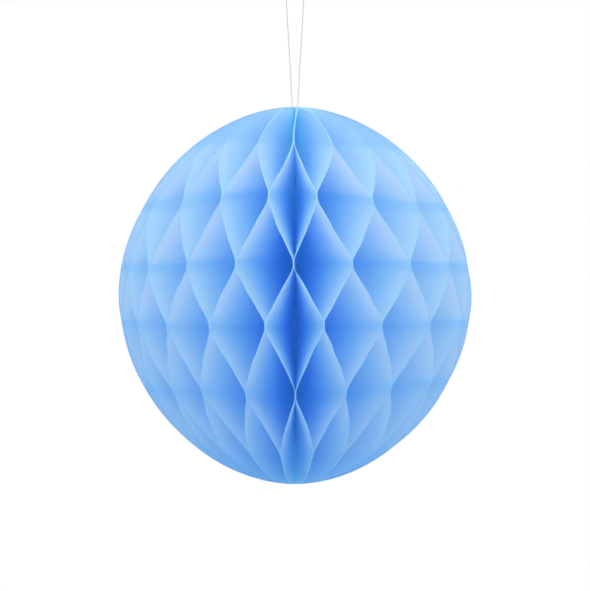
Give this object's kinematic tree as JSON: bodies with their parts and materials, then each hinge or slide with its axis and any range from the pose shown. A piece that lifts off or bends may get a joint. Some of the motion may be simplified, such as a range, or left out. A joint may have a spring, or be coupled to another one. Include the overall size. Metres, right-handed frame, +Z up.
{
  "type": "honeycomb paper ball",
  "caption": "Round hanging decoration of pleated tissue sheets glued into open diamond cells around a spine, with card ends at the back and a loop of thread.",
  "frame": {"origin": "middle of the ball, half way between its poles and across its equator, without the thread", "axes": "+Z up along the spine, towards the thread; +X to the right and -Y towards the viewer, as the picture shows the ball"},
  "size_m": [0.1866, 0.1864, 0.2681],
  "materials": {
    "tissue": "matt sky blue tissue paper, light coming through it",
    "cover_card": "uncoated white card",
    "spine": "glued and stitched tissue edges",
    "thread": "white twisted cotton thread"
  },
  "bodies": {
    "root": {"tissue_sheet_01": "tissue", "tissue_sheet_02": "tissue", "tissue_sheet_03": "tissue", "tissue_sheet_04": "tissue", "tissue_sheet_05": "tissue", "tissue_sheet_06": "tissue", "tissue_sheet_07": "tissue", "tissue_sheet_08": "tissue", "tissue_sheet_09": "tissue", "tissue_sheet_10": "tissue", "tissue_sheet_11": "tissue", "tissue_sheet_12": "tissue", "tissue_sheet_13": "tissue", "tissue_sheet_14": "tissue", "tissue_sheet_15": "tissue", "tissue_sheet_16": "tissue", "tissue_sheet_17": "tissue", "tissue_sheet_18": "tissue", "tissue_sheet_19": "tissue", "tissue_sheet_20": "tissue", "tissue_sheet_21": "tissue", "tissue_sheet_22": "tissue", "tissue_sheet_23": "tissue", "tissue_sheet_24": "tissue", "tissue_sheet_25": "tissue", "tissue_sheet_26": "tissue", "tissue_sheet_27": "tissue", "tissue_sheet_28": "tissue", "tissue_sheet_29": "tissue", "tissue_sheet_30": "tissue", "tissue_sheet_31": "tissue", "tissue_sheet_32": "tissue", "tissue_sheet_33": "tissue", "tissue_sheet_34": "tissue", "tissue_sheet_35": "tissue", "tissue_sheet_36": "tissue", "tissue_sheet_37": "tissue", "tissue_sheet_38": "tissue", "tissue_sheet_39": "tissue", "tissue_sheet_40": "tissue", "spine_binding": "spine", "first_cover_card": "cover_card", "last_cover_card": "cover_card", "hanging_thread": "thread"}
  },
  "joints": []
}
